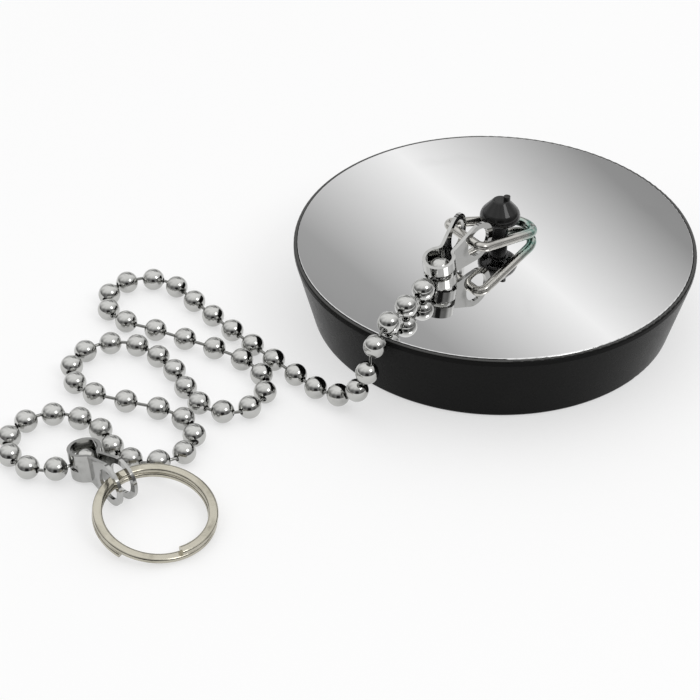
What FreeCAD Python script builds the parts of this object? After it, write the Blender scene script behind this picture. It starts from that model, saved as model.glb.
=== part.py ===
import FreeCAD, Part
import math
import os

# Sink and bath plug: a rubber stopper capped with a steel disc, a wire link on the rubber knob,
# and a bead chain between two couplings with a split ring at its far end.
# Millimetres and degrees. The origin is the centre of the plug's underside, +Z is up.

V = FreeCAD.Vector
UP = V(0, 0, 1)

# rubber plug
plug_top_d = 54.0
plug_base_d = 48.8
rubber_h = 10.82
rim_band_h = 0.8
rim_lip = 0.45
rim_edge_r = 0.25
base_edge_r = 0.7
recess_wall = 5.2
recess_depth = 5.6
recess_draft = 1.4
recess_edge_r = 0.9
boss_d = 9.0
boss_h = 2.2
neck_d = 2.4
neck_h = 2.8
knob_d = 5.4
knob_h = 3.5
knob_offset = 0.57
knob_tip_d = 2.0
knob_edge_r = 0.7
knob_shoulder_r = 1.6
knob_tip_r = 0.35
nub_d = 0.9
nub_h = 0.5
nub_offset = 0.8

# steel disc
disc_play = 0.05
disc_proud = 0.08
disc_t = 0.6
disc_edge_r = 0.12
disc_hole_play = 0.3

# wire link round the knob's neck
wire_d = 1.3
link_base = 7.2
link_reach = 7.0
link_far = 4.75
link_far_r = 2.2
link_corner_r = 1.0
link_shift = 0.62
link_bearing = 37.0
link_rest_gap = 0.1
link_seam = 0.14
link_seam_angle = 36.0
link_slip = 0.6

# couplings, one folded strap each
strap_t = 0.45
strap_w = 3.8
barrel_play = 0.2
neck_bend_r = 0.8
neck_gap = 0.7
ear_flare = 9.0
ring_ear_flare = 3.0
eye_reach = 6.5
eye_d = 4.0
ear_wall = 0.8
slot_w = 0.9
slot_from = -35.0
slot_to = 118.0
coupling_bearing = -125.0
coupling_tilt = 11.0
coupling_rest_gap = 0.1
ring_end_bearing = -50.0
ring_end_tilt = 8.0

# bead chain
bead_d = 3.0
bead_wall = 0.25
pin_d = 0.4
pin_play = 0.22
head_lip = 0.05
head_flat_share = 0.3
taut_gap = 1.62
bead_rest_gap = 0.05
rim_bearing = -124.6
rim_stand = 1.4
rim_gap = 0.2
rim_drop = 0.2
drop_out = 1.7
# each hanging bead: the share of its pin in sight, and its shares of the way out and down
drop_shares = ((0.37, 0.91, 0.353), (0.392, 1.0, 0.717), (0.343, 1.0, 0.94))
# the last balls rise to the ring's coupling by these shares of its height
end_lift_shares = (0.1, 0.55, 1.0)
floor_heading = 143.0
# each run on the floor: its links, their gap as a share of the taut gap, the turn per link
floor_run_shares = (
    (1, 0.41, 0.0),
    (1, 0.50, -9.0),
    (5, 0.82, -1.0),
    (1, 0.80, -1.0),
    (1, 0.50, 24.0),
    (1, 0.40, 39.0),
    (2, 0.37, 41.5),
    (1, 0.49, 40.0),
    (1, 0.94, 21.0),
    (2, 0.94, -1.0),
    (1, 0.92, -6.0),
    (1, 0.72, -17.0),
    (1, 0.46, -31.0),
    (1, 0.38, -40.0),
    (1, 0.31, -44.0),
    (1, 0.36, -44.0),
    (1, 0.45, -30.0),
    (1, 0.60, -6.0),
    (2, 0.50, 13.0),
    (1, 0.40, 31.0),
    (4, 0.36, 37.0),
    (1, 0.90, 20.0),
    (1, 0.92, 1.0),
    (1, 0.58, -13.0),
    (1, 0.38, -32.0),
    (2, 0.31, -43.0),
    (2, 0.32, -37.0),
    (1, 0.45, -18.0),
    (2, 0.38, 24.0),
    (4, 0.33, 37.5),
    (1, 0.39, 34.0),
    (1, 0.53, 30.0),
)

# split ring, two turns of flat wire
ring_d = 15.0
ring_wire_w = 1.2
ring_wire_h = 0.78
ring_wire_r = 0.36
ring_layer_gap = 0.03
ring_turn = 660.0
ring_start = -120.0
ring_skew = 8.0
ring_rest_gap = 0.1

# one overrun serves all cuts
overrun = 1.0

# worked out from the sizes above
rim_r = plug_top_d / 2
base_r = plug_base_d / 2
disc_top = rubber_h + disc_proud
disc_seat = disc_top - disc_t
neck_r = neck_d / 2
neck_axis = V(knob_offset, 0, 0)
wire_r = wire_d / 2
bead_r = bead_d / 2
bead_bore = bead_r - bead_wall
pin_r = pin_d / 2
hole_r = pin_r + pin_play
head_r = hole_r + head_lip
barrel_in = bead_r + barrel_play
barrel_out = barrel_in + strap_t
eye_r = eye_d / 2
ear_r = eye_r + ear_wall


def polar(length, bearing):
    a = math.radians(bearing)
    return V(length * math.cos(a), length * math.sin(a), 0)


def unit(vector):
    return V(vector).normalize()


# A closed outline in the XZ plane: each corner is (x, z, rounding radius).
def rounded_outline(corners):
    ends = []
    for i, (x, z, r) in enumerate(corners):
        here = V(x, 0, z)
        before = unit(V(corners[i - 1][0], 0, corners[i - 1][1]) - here)
        after = corners[(i + 1) % len(corners)]
        after = unit(V(after[0], 0, after[1]) - here)
        if r == 0:
            ends.append((here, None, here))
            continue
        half = before.getAngle(after) / 2
        middle = unit(before + after)
        centre = here + middle * (r / math.sin(half))
        run = r / math.tan(half)
        ends.append((here + before * run, centre - middle * r, here + after * run))
    edges = []
    for i, (start, bulge, stop) in enumerate(ends):
        if bulge is not None:
            edges.append(Part.Arc(start, bulge, stop).toShape())
        edges.append(Part.makeLine(stop, ends[(i + 1) % len(ends)][0]))
    return Part.Wire(edges)


def turned(corners):
    return Part.Face(rounded_outline(corners)).revolve(V(0, 0, 0), UP, 360)


def placed(shape, base, rotation):
    copy = shape.copy()
    copy.Placement = FreeCAD.Placement(base, rotation)
    return copy


# Rubber plug: a tapered stopper, hollow below, with a lip round its top and the knob that holds the link.
def make_rubber_plug():
    recess_r = base_r - recess_wall
    roof_r = recess_r - recess_draft
    boss_r = boss_d / 2
    knob_r = knob_d / 2
    tip_r = knob_tip_d / 2
    knob_z = disc_top + neck_h
    tip_z = knob_z + knob_h
    waist_share, shoulder_share = 0.10, 0.44
    plug = turned((
        (0, recess_depth - boss_h, 0),
        (boss_r, recess_depth - boss_h, rim_edge_r),
        (boss_r, recess_depth, recess_edge_r),
        (roof_r, recess_depth, recess_edge_r),
        (recess_r, 0, rim_edge_r),
        (base_r, 0, base_edge_r),
        (rim_r, rubber_h - rim_band_h, rim_edge_r),
        (rim_r, rubber_h, rim_edge_r),
        (rim_r - rim_lip, rubber_h, disc_edge_r),
        (rim_r - rim_lip, disc_seat, 0),
        (0, disc_seat, 0),
    ))
    knob = turned((
        (0, disc_seat - overrun, 0),
        (neck_r, disc_seat - overrun, 0),
        (neck_r, knob_z, rim_edge_r),
        (knob_r, knob_z + waist_share * knob_h, knob_edge_r),
        (knob_r, knob_z + shoulder_share * knob_h, knob_shoulder_r),
        (tip_r, tip_z, knob_tip_r),
        (0, tip_z, 0),
    ))
    nub = Part.makeCylinder(nub_d / 2, nub_h + overrun, V(nub_offset, 0, tip_z - overrun))
    knob = knob.fuse(nub)
    knob.translate(neck_axis)
    return plug.fuse(knob).removeSplitter()


# Steel disc: let into the rubber's top, inside its lip.
def make_steel_disc():
    edge = rim_r - rim_lip - disc_play
    disc = turned((
        (0, disc_seat, 0),
        (edge, disc_seat, disc_edge_r),
        (edge, disc_top, disc_edge_r),
        (0, disc_top, 0),
    ))
    hole = Part.makeCylinder(neck_r + disc_hole_play, disc_t + overrun, neck_axis + UP * disc_seat)
    return disc.cut(hole)


# Where the couplings stand: the ball's centre, the strap's own axes and the centre of its eyes.
def coupling_frame(ball, bearing, tilt):
    level = polar(1, bearing)
    along = level * math.cos(math.radians(tilt)) + UP * math.sin(math.radians(tilt))
    across = UP.cross(level)
    axis = along.cross(across)
    return {
        "ball": ball,
        "along": along,
        "across": across,
        "axis": axis,
        "eye": ball + along * eye_reach,
        "rotation": FreeCAD.Rotation(along, across, axis, "XZY"),
    }


# How high the ball sits when a tilted barrel stands on a surface at height zero.
def barrel_height(tilt):
    a = math.radians(tilt)
    return strap_w / 2 * math.cos(a) + barrel_out * math.sin(a)


# The plug's coupling hangs on the link's base wire, slid a little towards one corner.
ball_z = disc_top + coupling_rest_gap + barrel_height(coupling_tilt)
eye_z = ball_z + eye_reach * math.sin(math.radians(coupling_tilt))
link_low = disc_top + wire_r + link_rest_gap
link_tilt = math.asin((eye_z - link_low) / (link_reach + link_far))
link_u = polar(math.cos(link_tilt), link_bearing) - UP * math.sin(link_tilt)
link_w = polar(1, link_bearing + 90)
link_origin = neck_axis - link_w * link_shift + UP * (link_low + link_far * math.sin(link_tilt))
base_middle = link_origin - link_u * link_reach
plug_eye = base_middle - link_w * link_slip
plug_ball = plug_eye + polar(eye_reach * math.cos(math.radians(coupling_tilt)), coupling_bearing)
plug_ball.z = ball_z
plug_frame = coupling_frame(plug_ball, coupling_bearing + 180, coupling_tilt)


# Wire link: a straight base, two legs and a round far end, bent from one wire whose ends meet.
def make_wire_link():
    def at(u, w):
        return link_origin + link_u * u + link_w * w

    def on_arc(centre, r, angle):
        a = math.radians(angle)
        return at(centre[0] + r * math.cos(a), centre[1] + r * math.sin(a))

    def arc(centre, r, start, stop):
        middle = on_arc(centre, r, (start + stop) / 2)
        return Part.Arc(on_arc(centre, r, start), middle, on_arc(centre, r, stop)).toShape()

    corner = (link_corner_r - link_reach, link_base / 2 - link_corner_r)
    mirror = (corner[0], -corner[1])
    far = (link_far - link_far_r, 0)
    span = math.dist(corner, far)
    lean = math.degrees(math.atan2(far[1] - corner[1], far[0] - corner[0]))
    side = lean + math.degrees(math.acos((link_corner_r - link_far_r) / span))
    half_seam = math.degrees(link_seam / link_far_r) / 2
    path = Part.Wire([
        arc(far, link_far_r, half_seam - link_seam_angle, side),
        Part.makeLine(on_arc(far, link_far_r, side), on_arc(corner, link_corner_r, side)),
        arc(corner, link_corner_r, side, 180),
        Part.makeLine(on_arc(corner, link_corner_r, 180), on_arc(mirror, link_corner_r, 180)),
        arc(mirror, link_corner_r, 180, 360 - side),
        Part.makeLine(on_arc(mirror, link_corner_r, -side), on_arc(far, link_far_r, -side)),
        arc(far, link_far_r, -side, -half_seam - link_seam_angle),
    ])
    start = path.Edges[0]
    section = Part.makeCircle(wire_r, start.valueAt(start.FirstParameter), start.tangentAt(start.FirstParameter))
    return path.makePipe(Part.Face(Part.Wire([section])))


# Coupling: a strap folded round the end ball, drawn in to a neck, with two flared ears.
def make_strap(flare_angle):
    leg = (neck_gap + strap_t) / 2
    middle_r = (barrel_in + barrel_out) / 2
    bend_y = leg + neck_bend_r
    bend_x = math.sqrt((middle_r + neck_bend_r) ** 2 - bend_y**2)
    open_angle = math.atan2(bend_y, bend_x)
    tip_x = eye_reach + ear_r + overrun
    flare = FreeCAD.Rotation(UP, flare_angle)

    # one face of the strap, a given distance out from its middle line
    def face_edges(offset):
        wrap_r = middle_r + offset
        bend_r = neck_bend_r - offset
        turn_a = -math.pi / 2 - (math.pi / 2 - open_angle) / 2
        meet = V(wrap_r * math.cos(open_angle), wrap_r * math.sin(open_angle), 0)
        belly = V(bend_x + bend_r * math.cos(turn_a), bend_y + bend_r * math.sin(turn_a), 0)
        neck = V(bend_x, leg + offset, 0)
        tip = V(tip_x, leg + offset, 0)
        meet, belly, neck, tip = [flare.multVec(p) for p in (meet, belly, neck, tip)]

        def low(p):
            return V(p.x, -p.y, 0)

        return [
            Part.makeLine(tip, neck),
            Part.Arc(neck, belly, meet).toShape(),
            Part.Arc(meet, V(-wrap_r, 0, 0), low(meet)).toShape(),
            Part.Arc(low(meet), low(belly), low(neck)).toShape(),
            Part.makeLine(low(neck), low(tip)),
        ], tip, low(tip)

    outer, outer_tip, outer_low = face_edges(strap_t / 2)
    inner, inner_tip, inner_low = face_edges(-strap_t / 2)
    ends = [Part.makeLine(outer_tip, inner_tip), Part.makeLine(inner_low, outer_low)]
    outline = Part.Wire(Part.__sortEdges__(outer + inner + ends))
    deep = 2 * (ear_r + overrun)
    folded = Part.Face(outline).extrude(V(0, 0, deep))
    folded.translate(V(0, 0, -deep / 2))

    # the strap seen from the side: a straight band that widens into round ears
    half_w = strap_w / 2
    reach = math.hypot(eye_reach - bend_x, half_w)
    touch = math.atan2(half_w, bend_x - eye_reach) - math.acos(ear_r / reach)
    touch_p = V(eye_reach + ear_r * math.cos(touch), 0, ear_r * math.sin(touch))
    back_x = -barrel_out - overrun
    side = Part.Wire([
        Part.makeLine(V(back_x, 0, -half_w), V(back_x, 0, half_w)),
        Part.makeLine(V(back_x, 0, half_w), V(bend_x, 0, half_w)),
        Part.makeLine(V(bend_x, 0, half_w), touch_p),
        Part.Arc(touch_p, V(eye_reach + ear_r, 0, 0), V(touch_p.x, 0, -touch_p.z)).toShape(),
        Part.makeLine(V(touch_p.x, 0, -touch_p.z), V(bend_x, 0, -half_w)),
        Part.makeLine(V(bend_x, 0, -half_w), V(back_x, 0, -half_w)),
    ])
    wide = 2 * (barrel_out + overrun)
    band = Part.Face(side).extrude(V(0, wide, 0))
    band.translate(V(0, -wide / 2, 0))
    strap = folded.common(band)

    eyes = Part.makeCylinder(eye_r, wide, V(eye_reach, -wide / 2, 0), V(0, 1, 0))
    slot = Part.makeCylinder(barrel_out + overrun, slot_w, V(0, 0, -slot_w / 2), UP, slot_to - slot_from)
    slot.rotate(V(0, 0, 0), UP, 180 + slot_from)
    return strap.cut(eyes).cut(slot).Solids[0]


# A closed outline above the X axis, turned around that axis.
def turned_on_x(edges):
    return Part.Face(Part.Wire(Part.__sortEdges__(edges))).revolve(V(0, 0, 0), V(1, 0, 0), 360)


# Ball: a thin hollow sphere with a hole at each end of its axis, X.
def make_ball():
    lips = [math.sqrt(r**2 - hole_r**2) for r in (bead_r, bead_bore)]
    shells = [
        Part.Arc(V(-x, hole_r, 0), V(0, r, 0), V(x, hole_r, 0)).toShape()
        for x, r in zip(lips, (bead_r, bead_bore))
    ]
    holes = [Part.makeLine(V(s * lips[0], hole_r, 0), V(s * lips[1], hole_r, 0)) for s in (-1, 1)]
    return turned_on_x(shells + holes)


# Pin: a shank with a round head at each end, flat at the tip, centred on the origin along X.
def make_pin():
    seat = math.sqrt(bead_bore**2 - hole_r**2) - math.sqrt(head_r**2 - hole_r**2)
    half = (bead_d + taut_gap) / 2 - seat
    neck = half - math.sqrt(head_r**2 - pin_r**2)
    tip_r = head_r * head_flat_share
    tip = half + math.sqrt(head_r**2 - tip_r**2)
    edges = [
        Part.makeLine(V(-neck, pin_r, 0), V(neck, pin_r, 0)),
        Part.makeLine(V(-tip, 0, 0), V(tip, 0, 0)),
    ]
    for s in (-1, 1):
        around = Part.Arc(V(s * neck, pin_r, 0), V(s * half, head_r, 0), V(s * tip, tip_r, 0))
        edges += [around.toShape(), Part.makeLine(V(s * tip, tip_r, 0), V(s * tip, 0, 0))]
    return turned_on_x(edges)


# The chain's ball centres: over the disc to its rim, down the side, then folded on the floor.
def chain_centres():
    rest_z = disc_top + bead_r + bead_rest_gap
    edge = polar(rim_r - rim_stand, rim_bearing)
    centres = [plug_ball]
    span = math.hypot(edge.x - plug_ball.x, edge.y - plug_ball.y)
    disc_links = math.ceil(span / (bead_d + taut_gap))
    for i in range(1, disc_links + 1):
        point = plug_ball + (edge - plug_ball) * (i / disc_links)
        centres.append(V(point.x, point.y, rest_z))

    brow = polar(rim_r + bead_r + rim_gap, rim_bearing) + UP * (disc_top - rim_drop)
    centres.append(brow)
    along = out_last = down_last = 0
    for gap_share, out_share, down_share in drop_shares:
        out, down = drop_out * out_share, (brow.z - bead_r) * down_share
        level = (bead_d + taut_gap * gap_share) ** 2 - (out - out_last) ** 2 - (down - down_last) ** 2
        along += math.sqrt(max(level, 0))
        out_last, down_last = out, down
        centres.append(brow + polar(out, rim_bearing) + polar(along, rim_bearing - 90) - UP * down)

    heading = floor_heading
    for links, gap_share, turn in floor_run_shares:
        for _ in range(links):
            heading += turn
            point = centres[-1] + polar(bead_d + taut_gap * gap_share, heading)
            centres.append(V(point.x, point.y, bead_r))
    lift = barrel_height(ring_end_tilt) - bead_r
    for ball, lift_share in zip(centres[-len(end_lift_shares):], end_lift_shares):
        ball.z += lift * lift_share
    return centres


# Each ball points between the link that comes and the link that goes, nearer to the tauter one.
def ball_axes(centres):
    links = [b - a for a, b in zip(centres, centres[1:])]
    pulls = [unit(link) * (link.Length - bead_d) ** 2 for link in links]
    sums = [pulls[0]] + [a + b for a, b in zip(pulls, pulls[1:])] + [pulls[-1]]
    return [unit(pull) for pull in sums]


# Each pin runs from the hole of one ball to the hole of the next: (centre, direction, first hole).
def pin_places(centres, axes):
    hole = bead_r - bead_wall / 2
    places = []
    for i in range(1, len(centres)):
        leaves = centres[i - 1] + axes[i - 1] * hole
        enters = centres[i] - axes[i] * hole
        places.append(((leaves + enters) / 2, unit(enters - leaves), leaves))
    return places


centres = chain_centres()
axes = ball_axes(centres)
pins = pin_places(centres, axes)
ring_frame = coupling_frame(centres[-1], ring_end_bearing, ring_end_tilt)

# The split ring's wire runs through the middle of the ring-end coupling's eyes.
ring_mid_r = (ring_d - ring_wire_w) / 2
ring_pitch = ring_wire_h + ring_layer_gap
ring_bearing = ring_end_bearing + ring_skew
ring_eye = ring_frame["eye"]
ring_eye_height = ring_pitch * (((ring_start - ring_bearing - 180) % 360) / 360 + 0.5)
ring_far_height = ring_pitch * ((ring_start - ring_bearing) % 360) / 360 - ring_wire_h / 2
ring_drop = ring_eye.z - ring_eye_height + ring_far_height - ring_rest_gap
ring_tilt = math.degrees(math.asin(ring_drop / (2 * ring_mid_r)))


# Split ring: two close turns, rising clockwise, with both ends towards the front.
def make_split_ring():
    rise = ring_pitch * ring_turn / 360
    helix = Part.makeHelix(ring_pitch, rise, ring_mid_r, 0, True)
    half_w, half_h = ring_wire_w / 2, ring_wire_h / 2
    section = rounded_outline((
        (ring_mid_r - half_w, -half_h, ring_wire_r),
        (ring_mid_r + half_w, -half_h, ring_wire_r),
        (ring_mid_r + half_w, half_h, ring_wire_r),
        (ring_mid_r - half_w, half_h, ring_wire_r),
    ))
    ring = Part.Wire(helix.Edges).makePipeShell([section], True, True)
    ring.rotate(V(0, 0, 0), UP, ring_start)
    level = polar(1, ring_bearing)
    tip = FreeCAD.Rotation(UP.cross(level), ring_tilt)
    hung = tip.multVec(polar(-ring_mid_r, ring_bearing) + UP * ring_eye_height)
    return placed(ring, ring_eye - hung, tip.multiply(ring.Placement.Rotation))


def chain_beads():
    ball, pin = make_ball(), make_pin()
    ahead = V(1, 0, 0)
    balls = [placed(ball, c, FreeCAD.Rotation(ahead, a)) for c, a in zip(centres, axes)]
    links = [placed(pin, c, FreeCAD.Rotation(ahead, d)) for c, d, _ in pins]
    groups = [[balls[i], links[i - 1]] for i in range(1, len(balls) - 1)]
    groups[0].append(balls[0])
    groups[-1] += [balls[-1], links[-1]]
    return {f"bead_{n:02d}": Part.makeCompound(g) for n, g in enumerate(groups, 1)}


nodes = {
    "rubber_plug": make_rubber_plug(),
    "steel_disc": make_steel_disc(),
    "wire_link": make_wire_link(),
    "plug_coupling": placed(make_strap(ear_flare), plug_ball, plug_frame["rotation"]),
    "ring_coupling": placed(make_strap(ring_ear_flare), centres[-1], ring_frame["rotation"]),
    "split_ring": make_split_ring(),
}
nodes.update(chain_beads())

os.makedirs("parts", exist_ok=True)
for name, shape in nodes.items():
    shape.exportStep(f"parts/{name}.step")
    solids = shape.Solids
    volume = sum(s.Volume for s in solids)
    print(f"{name}: {len(solids)} solids, {volume:.2f} mm3, valid {shape.isValid()}")
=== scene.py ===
import bmesh
import bpy
import math
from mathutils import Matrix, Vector

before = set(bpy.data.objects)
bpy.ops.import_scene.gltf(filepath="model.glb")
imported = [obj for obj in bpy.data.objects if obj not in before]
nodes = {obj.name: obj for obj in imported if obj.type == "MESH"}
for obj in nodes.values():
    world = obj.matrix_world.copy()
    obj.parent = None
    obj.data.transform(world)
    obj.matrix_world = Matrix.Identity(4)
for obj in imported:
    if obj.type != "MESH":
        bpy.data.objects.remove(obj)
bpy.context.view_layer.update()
scene = bpy.context.scene
scene.view_settings.view_transform = "Standard"
print("drain stopper: loaded", len(nodes), "nodes")


# put makes a node and fills its sockets, wire links pairs of sockets
def put(tree, kind, x=0, y=0, sockets=None, **settings):
    node = tree.nodes.new(kind)
    node.location = (x, y)
    for key, value in settings.items():
        setattr(node, key, value)
    for key, value in (sockets or {}).items():
        node.inputs[key].default_value = value
    return node


def wire(tree, *pairs):
    for out, into in pairs:
        tree.links.new(out, into)


def rampStops(node, stops):
    ramp = node.color_ramp
    while len(ramp.elements) < len(stops):
        ramp.elements.new(0.5)
    for element, (place, grey) in zip(ramp.elements, stops):
        element.position = place
        element.color = (grey, grey, grey, 1)


def startGroup(name, inputs, outputs):
    group = bpy.data.node_groups.new(name, "ShaderNodeTree")
    for title, value in inputs.items():
        socket = group.interface.new_socket(title, in_out="INPUT", socket_type="NodeSocketFloat")
        socket.default_value = value
    for title in outputs:
        group.interface.new_socket(title, in_out="OUTPUT", socket_type="NodeSocketFloat")
    return group, put(group, "NodeGroupInput", -900), put(group, "NodeGroupOutput", 700)


# smears: where fingers and water have dulled a surface
smearForm = dict(detail=5, swirl=0.6, fineTimes=9, fineDetail=3, coverShare=0.5, lowEdge=0.75, highEdge=0.85)


def buildSmears(form):
    group, inn, out = startGroup("smears", {"Scale": 120, "Coverage": 0.5}, ["Mask", "Fine"])
    where = put(group, "ShaderNodeTexCoord", -900, 300)
    cloud = put(group, "ShaderNodeTexNoise", -600, 200, {"Detail": form["detail"], "Distortion": form["swirl"]})
    finer = put(group, "ShaderNodeMath", -760, -120, {1: form["fineTimes"]}, operation="MULTIPLY")
    fine = put(group, "ShaderNodeTexNoise", -600, -120, {"Detail": form["fineDetail"]})
    part = put(group, "ShaderNodeMath", -560, -320, {1: form["coverShare"]}, operation="MULTIPLY")
    lowEdge = put(group, "ShaderNodeMath", -380, -320, {0: form["lowEdge"]}, operation="SUBTRACT")
    highEdge = {"From Max": form["highEdge"]}
    soft = put(group, "ShaderNodeMapRange", -150, 160, highEdge, interpolation_type="SMOOTHSTEP")
    wire(
        group,
        (where.outputs["Object"], cloud.inputs["Vector"]),
        (where.outputs["Object"], fine.inputs["Vector"]),
        (inn.outputs["Scale"], cloud.inputs["Scale"]),
        (inn.outputs["Scale"], finer.inputs[0]),
        (finer.outputs[0], fine.inputs["Scale"]),
        (inn.outputs["Coverage"], part.inputs[0]),
        (part.outputs[0], lowEdge.inputs[1]),
        (cloud.outputs["Fac"], soft.inputs["Value"]),
        (lowEdge.outputs[0], soft.inputs["From Min"]),
        (soft.outputs["Result"], out.inputs["Mask"]),
        (fine.outputs["Fac"], out.inputs["Fine"]),
    )
    return group


# hairlines: long fine scratches that run one way, crossed by a second set
hairlineForm = dict(detail=2, markFrom=0.62, markTo=0.78)


def buildHairlines(form):
    group, inn, out = startGroup("hairlines", {"Scale": 300, "Stretch": 30, "Angle": 0.6}, ["Height", "Mask"])
    where = put(group, "ShaderNodeTexCoord", -900, 260)
    both = put(group, "ShaderNodeMath", -100, 60, operation="MAXIMUM")
    for i, side in enumerate((1, -1)):
        y = 200 - 360 * i
        angle = put(group, "ShaderNodeMath", -860, y - 120, {1: side}, operation="MULTIPLY")
        turn = put(group, "ShaderNodeVectorRotate", -700, y, rotation_type="Z_AXIS")
        squeeze = put(group, "ShaderNodeCombineXYZ", -700, y - 180, {"Y": 1, "Z": 1})
        stretch = put(group, "ShaderNodeVectorMath", -520, y, operation="MULTIPLY")
        lines = put(group, "ShaderNodeTexNoise", -340, y, {"Detail": form["detail"]})
        wire(
            group,
            (where.outputs["Object"], turn.inputs["Vector"]),
            (inn.outputs["Angle"], angle.inputs[0]),
            (angle.outputs[0], turn.inputs["Angle"]),
            (inn.outputs["Stretch"], squeeze.inputs["X"]),
            (turn.outputs["Vector"], stretch.inputs[0]),
            (squeeze.outputs["Vector"], stretch.inputs[1]),
            (stretch.outputs["Vector"], lines.inputs["Vector"]),
            (inn.outputs["Scale"], lines.inputs["Scale"]),
            (lines.outputs["Fac"], both.inputs[i]),
        )
    marks = {"From Min": form["markFrom"], "From Max": form["markTo"]}
    sharp = put(group, "ShaderNodeMapRange", 120, -80, marks)
    wire(
        group,
        (both.outputs[0], out.inputs["Height"]),
        (both.outputs[0], sharp.inputs["Value"]),
        (sharp.outputs["Result"], out.inputs["Mask"]),
    )
    return group


# rim: from the plug's middle outwards, where the edges of the disc and the rubber take another tone
def buildRim():
    group, inn, out = startGroup("rim", {"From": 0.0262, "To": 0.0266}, ["Mask"])
    where = put(group, "ShaderNodeTexCoord", -900, 200)
    level = put(group, "ShaderNodeVectorMath", -680, 200, {1: (1, 1, 0)}, operation="MULTIPLY")
    away = put(group, "ShaderNodeVectorMath", -480, 200, operation="LENGTH")
    soft = put(group, "ShaderNodeMapRange", -240, 100, interpolation_type="SMOOTHSTEP")
    wire(
        group,
        (where.outputs["Object"], level.inputs[0]),
        (level.outputs["Vector"], away.inputs[0]),
        (away.outputs["Value"], soft.inputs["Value"]),
        (inn.outputs["From"], soft.inputs["From Min"]),
        (inn.outputs["To"], soft.inputs["From Max"]),
        (soft.outputs["Result"], out.inputs["Mask"]),
    )
    return group


smears = buildSmears(smearForm)
hairlines = buildHairlines(hairlineForm)
rim = buildRim()
print("drain stopper: smears, hairlines and rim ready")


def useGroup(tree, group, x, y, **values):
    return put(tree, "ShaderNodeGroup", x, y, values, node_tree=group)


def startMaterial(name):
    mat = bpy.data.materials.new(name)
    mat.use_nodes = True
    tree = mat.node_tree
    tree.nodes.clear()
    surface = put(tree, "ShaderNodeBsdfPrincipled", 300)
    end = put(tree, "ShaderNodeOutputMaterial", 620)
    wire(tree, (surface.outputs["BSDF"], end.inputs["Surface"]))
    return mat, tree, surface


# one more colour over the first, where a mask lets it through
def layOver(tree, surface, under, mask, colour):
    over = put(tree, "ShaderNodeMix", 0, 420, {"B": (*colour, 1)}, data_type="RGBA")
    wire(
        tree,
        (mask, over.inputs["Factor"]),
        (under.outputs["Result"], over.inputs["A"]),
        (over.outputs["Result"], surface.inputs["Base Color"]),
    )


def dress(mat, *names):
    for name in names:
        mesh = nodes[name].data
        mesh.materials.clear()
        mesh.materials.append(mat)


scratchHeight = 0.00002


# a bright metal: two tints that drift into each other, dulled by smears and scratched by hairlines
def brightMetal(name, look):
    mat, tree, surface = startMaterial(name)
    surface.inputs["Metallic"].default_value = 1
    smear = useGroup(tree, smears, -700, 160, Scale=look["smearScale"], Coverage=look["smearCover"])
    lines = useGroup(
        tree, hairlines, -700, -160,
        Scale=look["lineScale"], Stretch=look["lineStretch"], Angle=look["lineAngle"],
    )
    tints = {"A": (*look["tint"], 1), "B": (*look["dullTint"], 1)}
    tint = put(tree, "ShaderNodeMix", -250, 240, tints, data_type="RGBA")
    bright, dull = look["rough"]
    rough = put(tree, "ShaderNodeMapRange", -450, 20, {"To Min": bright, "To Max": dull})
    scratched = put(tree, "ShaderNodeMath", -200, -20, {1: look["lineRough"]}, operation="MULTIPLY_ADD")
    bump = put(tree, "ShaderNodeBump", 0, -240, {"Strength": look["lineDepth"], "Distance": scratchHeight})
    wire(
        tree,
        (smear.outputs["Mask"], tint.inputs["Factor"]),
        (tint.outputs["Result"], surface.inputs["Base Color"]),
        (smear.outputs["Mask"], rough.inputs["Value"]),
        (lines.outputs["Mask"], scratched.inputs[0]),
        (rough.outputs["Result"], scratched.inputs[2]),
        (scratched.outputs[0], surface.inputs["Roughness"]),
        (lines.outputs["Height"], bump.inputs["Height"]),
        (bump.outputs["Normal"], surface.inputs["Normal"]),
    )
    return mat, tree, surface, tint


# rubber plug: fine grain, greyer where it has dried, shinier on the knob, lighter grey on top of the lip
plugRubber = dict(
    black=(0.0078, 0.0078, 0.0076), dusty=(0.0128, 0.0128, 0.0123), dustScale=75, dustCover=0.45,
    rough=(0.22, 0.34), sheenLevel=0.045, grainScale=2600, grainDepth=0.10, grainHeight=0.00005,
    handledFrom=0.0118, handledTo=0.0135, handledShine=0.7, handledRough=0.07,
    lip=(0.085, 0.085, 0.083), lipFrom=0.02640, lipTo=0.02660, lipLow=0.01070, lipHigh=0.01080,
)


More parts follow.
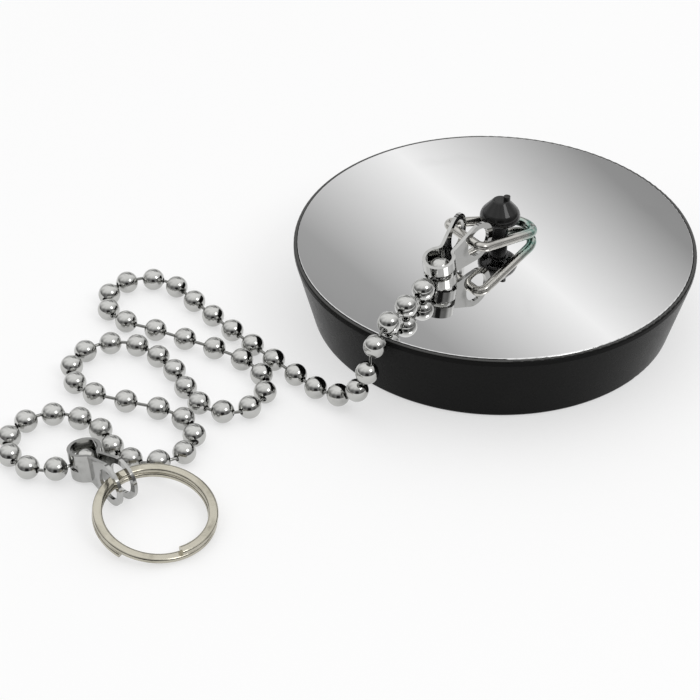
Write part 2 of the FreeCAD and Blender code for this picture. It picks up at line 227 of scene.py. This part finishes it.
def mouldedRubber(look):
    mat, tree, surface = startMaterial("mouldedRubber")
    surface.inputs["Specular IOR Level"].default_value = look["sheenLevel"]
    surface.inputs["Coat Roughness"].default_value = look["handledRough"]
    where = put(tree, "ShaderNodeTexCoord", -1000)
    apart = put(tree, "ShaderNodeSeparateXYZ", -800, -480)
    handled = put(
        tree, "ShaderNodeMapRange", -600, -480,
        {"From Min": look["handledFrom"], "From Max": look["handledTo"], "To Max": look["handledShine"]},
        interpolation_type="SMOOTHSTEP",
    )
    dust = useGroup(tree, smears, -700, 200, Scale=look["dustScale"], Coverage=look["dustCover"])
    grain = put(tree, "ShaderNodeTexNoise", -700, -240, {"Scale": look["grainScale"], "Detail": 4})
    tints = {"A": (*look["black"], 1), "B": (*look["dusty"], 1)}
    tint = put(tree, "ShaderNodeMix", -250, 240, tints, data_type="RGBA")
    least, most = look["rough"]
    rough = put(tree, "ShaderNodeMapRange", -250, -20, {"To Min": least, "To Max": most})
    depths = {"Strength": look["grainDepth"], "Distance": look["grainHeight"]}
    bump = put(tree, "ShaderNodeBump", 0, -260, depths)
    edge = useGroup(tree, rim, -600, 620, From=look["lipFrom"], To=look["lipTo"])
    heights = {"From Min": look["lipLow"], "From Max": look["lipHigh"]}
    high = put(tree, "ShaderNodeMapRange", -600, 460, heights, interpolation_type="SMOOTHSTEP")
    lip = put(tree, "ShaderNodeMath", -250, 520, operation="MULTIPLY")
    wire(
        tree,
        (where.outputs["Object"], grain.inputs["Vector"]),
        (where.outputs["Object"], apart.inputs["Vector"]),
        (apart.outputs["Z"], handled.inputs["Value"]),
        (handled.outputs["Result"], surface.inputs["Coat Weight"]),
        (dust.outputs["Mask"], tint.inputs["Factor"]),
        (apart.outputs["Z"], high.inputs["Value"]),
        (edge.outputs["Mask"], lip.inputs[0]),
        (high.outputs["Result"], lip.inputs[1]),
        (dust.outputs["Fine"], rough.inputs["Value"]),
        (rough.outputs["Result"], surface.inputs["Roughness"]),
        (grain.outputs["Fac"], bump.inputs["Height"]),
        (bump.outputs["Normal"], surface.inputs["Normal"]),
    )
    layOver(tree, surface, tint, lip.outputs[0], look["lip"])
    return mat


dress(mouldedRubber(plugRubber), "rubber_plug")

# steel disc: a mirror, darker on its rounded edge
facingDisc = dict(
    tint=(0.93, 0.93, 0.93), dullTint=(0.88, 0.88, 0.88), rough=(0.012, 0.045), smearScale=90, smearCover=0.35,
    lineScale=260, lineStretch=0.03, lineAngle=0.5, lineRough=0.03, lineDepth=0.015,
    edgeTint=(0.62, 0.62, 0.62), edgeFrom=0.02636, edgeTo=0.02644,
)


def polishedDisc(look):
    mat, tree, surface, tint = brightMetal("polishedDisc", look)
    edge = useGroup(tree, rim, -250, 520, From=look["edgeFrom"], To=look["edgeTo"])
    layOver(tree, surface, tint, edge.outputs["Mask"], look["edgeTint"])
    return mat


dress(polishedDisc(facingDisc), "steel_disc")

# wire link: drawn wire with a green stain on its end beyond the neck
hookedLink = dict(
    tint=(0.52, 0.51, 0.48), dullTint=(0.36, 0.35, 0.33), rough=(0.14, 0.30), smearScale=600, smearCover=0.6,
    lineScale=1600, lineStretch=0.12, lineAngle=0.7, lineRough=0.12, lineDepth=0.14,
    stain=(0.09, 0.27, 0.22), stainAt=(0.0046, 0.0006, 0.0122), stainReach=0.0042,
    stainScale=900, stainFrom=0.30, stainTo=0.55,
)


def linkWire(look):
    mat, tree, surface, tint = brightMetal("linkWire", look)
    where = put(tree, "ShaderNodeTexCoord", -900, 620)
    away = put(tree, "ShaderNodeVectorMath", -700, 620, {1: look["stainAt"]}, operation="DISTANCE")
    reach = {"From Min": look["stainReach"], "From Max": 0}
    near = put(tree, "ShaderNodeMapRange", -500, 620, reach, interpolation_type="SMOOTHSTEP")
    blotch = put(tree, "ShaderNodeTexNoise", -700, 860, {"Scale": look["stainScale"]})
    torn = {"From Min": look["stainFrom"], "From Max": look["stainTo"]}
    ragged = put(tree, "ShaderNodeMapRange", -500, 860, torn)
    broken = put(tree, "ShaderNodeMath", -300, 700, operation="MULTIPLY")
    wire(
        tree,
        (where.outputs["Object"], away.inputs[0]),
        (where.outputs["Object"], blotch.inputs["Vector"]),
        (away.outputs["Value"], near.inputs["Value"]),
        (near.outputs["Result"], broken.inputs[0]),
        (blotch.outputs["Fac"], ragged.inputs["Value"]),
        (ragged.outputs["Result"], broken.inputs[1]),
    )
    layOver(tree, surface, tint, broken.outputs[0], look["stain"])
    return mat


dress(linkWire(hookedLink), "wire_link")

# couplings: plated strap
strapCoupling = dict(
    tint=(0.44, 0.44, 0.43), dullTint=(0.25, 0.25, 0.24), rough=(0.05, 0.13), smearScale=500, smearCover=0.55,
    lineScale=1200, lineStretch=0.08, lineAngle=0.4, lineRough=0.08, lineDepth=0.08,
)
dress(brightMetal("platedStrap", strapCoupling)[0], "plug_coupling", "ring_coupling")

# split ring: nickel, a little yellow
splitRing = dict(
    tint=(0.50, 0.475, 0.40), dullTint=(0.31, 0.29, 0.235), rough=(0.15, 0.28), smearScale=380, smearCover=0.6,
    lineScale=1300, lineStretch=0.09, lineAngle=0.8, lineRough=0.12, lineDepth=0.12,
)
dress(brightMetal("nickelRing", splitRing)[0], "split_ring")

# ball chain: bright balls, and painted shade on the pins between them, which begin where the balls end
ballChain = dict(
    tint=(0.52, 0.52, 0.505), dullTint=(0.36, 0.36, 0.35), rough=(0.06, 0.15), smearScale=420, smearCover=0.5,
    lineScale=1500, lineStretch=0.1, lineAngle=0.9, lineRough=0.06, lineDepth=0.04,
    pinShade=(0.24, 0.24, 0.23), pinFrom=0.00149, pinTo=0.00157, ballShare=0.92,
)


def chainPlate(look):
    mat, tree, surface, tint = brightMetal("platedBall", look)
    where = put(tree, "ShaderNodeTexCoord", -900, 700)
    nearest = put(tree, "ShaderNodeMath", -480, 700, operation="MINIMUM")
    for i, middle in enumerate(("ballMiddle", "endMiddle")):
        y = 700 - 180 * i
        place = put(tree, "ShaderNodeAttribute", -900, y - 200, attribute_type="OBJECT", attribute_name=middle)
        away = put(tree, "ShaderNodeVectorMath", -680, y, operation="DISTANCE")
        wire(
            tree,
            (where.outputs["Object"], away.inputs[0]),
            (place.outputs["Vector"], away.inputs[1]),
            (away.outputs["Value"], nearest.inputs[i]),
        )
    # painted shade: the pins between the balls get a darker tint than the balls
    reach = {"From Min": look["pinFrom"], "From Max": look["pinTo"]}
    pin = put(tree, "ShaderNodeMapRange", -300, 700, reach, interpolation_type="SMOOTHSTEP")
    wire(tree, (nearest.outputs[0], pin.inputs["Value"]))
    layOver(tree, surface, tint, pin.outputs["Result"], look["pinShade"])
    return mat


# the middles of the balls in one chain node: its widest loose shells, as inner walls and pins are narrower
def ballMiddles(name, share):
    shell = bmesh.new()
    shell.from_mesh(nodes[name].data)
    left = set(shell.verts)
    found = []
    for first in shell.verts:
        if first not in left:
            continue
        left.discard(first)
        patch, front = [], [first]
        while front:
            corner = front.pop()
            patch.append(corner.co)
            for line in corner.link_edges:
                other = line.other_vert(corner)
                if other in left:
                    left.discard(other)
                    front.append(other)
        low = Vector(min(co[i] for co in patch) for i in range(3))
        high = Vector(max(co[i] for co in patch) for i in range(3))
        found.append((min(high - low), (low + high) / 2))
    shell.free()
    widest = max(width for width, middle in found)
    return [middle for width, middle in found if width > share * widest]


ballPlate = chainPlate(ballChain)
for name in nodes:
    if name.startswith("bead_"):
        dress(ballPlate, name)
        middles = ballMiddles(name, ballChain["ballShare"])
        nodes[name]["ballMiddle"] = list(middles[0])
        nodes[name]["endMiddle"] = list(middles[-1])
print("drain stopper: materials on", len(nodes), "nodes")

# table top: pale and matt, lifted towards white where it is seen
tableTop = dict(tone=0.95, lift=0.55, rough=0.9, across=6)


def paleTable(look):
    mat, tree, surface = startMaterial("paleTable")
    surface.inputs["Base Color"].default_value = (*[look["tone"]] * 3, 1)
    surface.inputs["Roughness"].default_value = look["rough"]
    surface.inputs["Specular IOR Level"].default_value = 0
    seen = put(tree, "ShaderNodeLightPath", -300, 420)
    direct = put(tree, "ShaderNodeMath", -100, 420, operation="ADD")
    mirrored = put(tree, "ShaderNodeMath", 60, 420, operation="ADD", use_clamp=True)
    share = put(tree, "ShaderNodeMath", 220, 420, {1: look["lift"]}, operation="MULTIPLY")
    glow = put(tree, "ShaderNodeEmission", 300, -420)
    both = put(tree, "ShaderNodeMixShader", 460, 200)
    wire(
        tree,
        (seen.outputs["Is Camera Ray"], direct.inputs[0]),
        (seen.outputs["Is Glossy Ray"], direct.inputs[1]),
        (direct.outputs[0], mirrored.inputs[0]),
        (seen.outputs["Is Transmission Ray"], mirrored.inputs[1]),
        (mirrored.outputs[0], share.inputs[0]),
        (share.outputs[0], both.inputs["Fac"]),
        (surface.outputs["BSDF"], both.inputs[1]),
        (glow.outputs["Emission"], both.inputs[2]),
        (both.outputs["Shader"], tree.nodes["Material Output"].inputs["Surface"]),
    )
    bpy.ops.mesh.primitive_plane_add(size=look["across"], location=(0, 0, 0))
    table = bpy.context.object
    table.name = "tableTop"
    table.data.materials.append(mat)


paleTable(tableTop)

# room: bright overhead and behind, dim low down in front, with darker panels round the walls
studioRoom = dict(
    lean=0.45, panels=7, panelDepth=0.5, greys=((0.0, 0.26), (0.20, 0.34), (0.48, 0.95), (0.9, 1.2)),
)


def skyLight(look):
    world = bpy.data.worlds.new("studioRoom")
    scene.world = world
    world.use_nodes = True
    tree = world.node_tree
    tree.nodes.clear()
    where = put(tree, "ShaderNodeTexCoord", -1000)
    apart = put(tree, "ShaderNodeSeparateXYZ", -820)
    height = put(tree, "ShaderNodeMath", -600, 120, {1: look["lean"]}, operation="MULTIPLY_ADD")
    ramp = put(tree, "ShaderNodeValToRGB", -400, 120)
    rampStops(ramp, look["greys"])
    bearing = put(tree, "ShaderNodeMath", -640, -160, operation="ARCTAN2")
    repeat = put(tree, "ShaderNodeMath", -480, -160, {1: look["panels"]}, operation="MULTIPLY")
    swing = put(tree, "ShaderNodeMath", -320, -160, operation="SINE")
    half = put(tree, "ShaderNodeMath", -160, -160, {1: 0.5, 2: 0.5}, operation="MULTIPLY_ADD")  # 0 to 1
    low = put(tree, "ShaderNodeMath", -320, -340, {0: 1}, operation="SUBTRACT", use_clamp=True)
    deep = put(tree, "ShaderNodeMath", -160, -340, {1: look["panelDepth"]}, operation="MULTIPLY")
    dark = put(tree, "ShaderNodeMath", 0, -240, operation="MULTIPLY")
    light = put(tree, "ShaderNodeMath", 160, -240, {0: 1}, operation="SUBTRACT")
    back = put(tree, "ShaderNodeBackground", 340)
    end = put(tree, "ShaderNodeOutputWorld", 540)
    wire(
        tree,
        (where.outputs["Generated"], apart.inputs["Vector"]),
        (apart.outputs["Y"], height.inputs[0]),
        (apart.outputs["Z"], height.inputs[2]),
        (height.outputs[0], ramp.inputs["Fac"]),
        (ramp.outputs["Color"], back.inputs["Color"]),
        (apart.outputs["Y"], bearing.inputs[0]),
        (apart.outputs["X"], bearing.inputs[1]),
        (bearing.outputs[0], repeat.inputs[0]),
        (repeat.outputs[0], swing.inputs[0]),
        (swing.outputs[0], half.inputs[0]),
        (apart.outputs["Z"], low.inputs[1]),
        (low.outputs[0], deep.inputs[0]),
        (half.outputs[0], dark.inputs[0]),
        (deep.outputs[0], dark.inputs[1]),
        (dark.outputs[0], light.inputs[1]),
        (light.outputs[0], back.inputs["Strength"]),
        (back.outputs["Background"], end.inputs["Surface"]),
    )


skyLight(studioRoom)

# key lamp: a small softbox in front on the right, which gives the balls their highlight
keyLamp = dict(spot=(0.55, -0.42, 0.72), target=(-0.02, 0, 0), across=0.36, watts=1.4)


def softLamp(name, look):
    lamp = bpy.data.lights.new(name, "AREA")
    lamp.shape = "RECTANGLE"
    lamp.size = lamp.size_y = look["across"]
    lamp.energy = look["watts"]
    holder = bpy.data.objects.new(name, lamp)
    scene.collection.objects.link(holder)
    holder.location = look["spot"]
    aim = Vector(look["target"]) - Vector(look["spot"])
    holder.rotation_euler = aim.to_track_quat("-Z", "Y").to_euler()


softLamp("keyLamp", keyLamp)

# two sheets that only reflections see: a slanting band for the disc, and a dark flag in front for the balls
slantSheet = dict(
    middle=(0.054, 0.600, 0.4164), turn=(90, 45, 0), size=(0.48, 0.63), border=0.166,
    greys=((0.167, 0.17), (0.367, 0.36), (0.5, 0.93), (0.633, 0.29), (0.833, 0.175)),
)
darkFlag = dict(
    middle=(-0.02, -0.75, 0.22), turn=(90, 0, 0), size=(0.60, 0.48), border=0.25,
    greys=((0.0, 0.02), (1.0, 0.02)),
)


def reflectedSheet(name, look):
    mat = bpy.data.materials.new(name)
    mat.use_nodes = True
    tree = mat.node_tree
    tree.nodes.clear()
    where = put(tree, "ShaderNodeTexCoord", -800)
    apart = put(tree, "ShaderNodeSeparateXYZ", -600)
    ramp = put(tree, "ShaderNodeValToRGB", -400)
    rampStops(ramp, look["greys"])
    across = put(tree, "ShaderNodeMath", -400, -260, {1: 0.5}, operation="PINGPONG")
    along = put(tree, "ShaderNodeMath", -400, -440, {1: 0.5}, operation="PINGPONG")
    inset = put(tree, "ShaderNodeMath", -220, -340, operation="MINIMUM")  # to the nearest border
    border = {"From Max": look["border"]}
    fade = put(tree, "ShaderNodeMapRange", -60, -340, border, interpolation_type="SMOOTHSTEP")
    glow = put(tree, "ShaderNodeEmission", -60)
    clear = put(tree, "ShaderNodeBsdfTransparent", -60, 120)
    both = put(tree, "ShaderNodeMixShader", 140)
    end = put(tree, "ShaderNodeOutputMaterial", 320)
    wire(
        tree,
        (where.outputs["Generated"], apart.inputs["Vector"]),
        (apart.outputs["X"], ramp.inputs["Fac"]),
        (ramp.outputs["Color"], glow.inputs["Color"]),
        (apart.outputs["X"], across.inputs[0]),
        (apart.outputs["Y"], along.inputs[0]),
        (across.outputs[0], inset.inputs[0]),
        (along.outputs[0], inset.inputs[1]),
        (inset.outputs[0], fade.inputs["Value"]),
        (fade.outputs["Result"], both.inputs["Fac"]),
        (clear.outputs["BSDF"], both.inputs[1]),
        (glow.outputs["Emission"], both.inputs[2]),
        (both.outputs["Shader"], end.inputs["Surface"]),
    )
    turn = [math.radians(angle) for angle in look["turn"]]
    bpy.ops.mesh.primitive_plane_add(size=1, location=look["middle"], rotation=turn)
    sheet = bpy.context.object
    sheet.name = name
    sheet.scale = (*look["size"], 1)
    sheet.data.materials.append(mat)
    sheet.visible_camera = sheet.visible_diffuse = sheet.visible_shadow = False


reflectedSheet("slantSheet", slantSheet)
reflectedSheet("darkFlag", darkFlag)
print("drain stopper: table, room, lamp and sheets in place")

photoView = dict(spot=(-0.0194136, -0.2230439, 0.1614773), down=37.2, lens=102.857, sensor=36, nearest=0.005)
cameraData = bpy.data.cameras.new("photoCamera")
cameraData.lens = photoView["lens"]
cameraData.sensor_width = photoView["sensor"]
cameraData.clip_start = photoView["nearest"]
camera = bpy.data.objects.new("photoCamera", cameraData)
scene.collection.objects.link(camera)
camera.location = photoView["spot"]
camera.rotation_euler = (math.radians(90 - photoView["down"]), 0, 0)
scene.camera = camera
print("drain stopper: camera set")
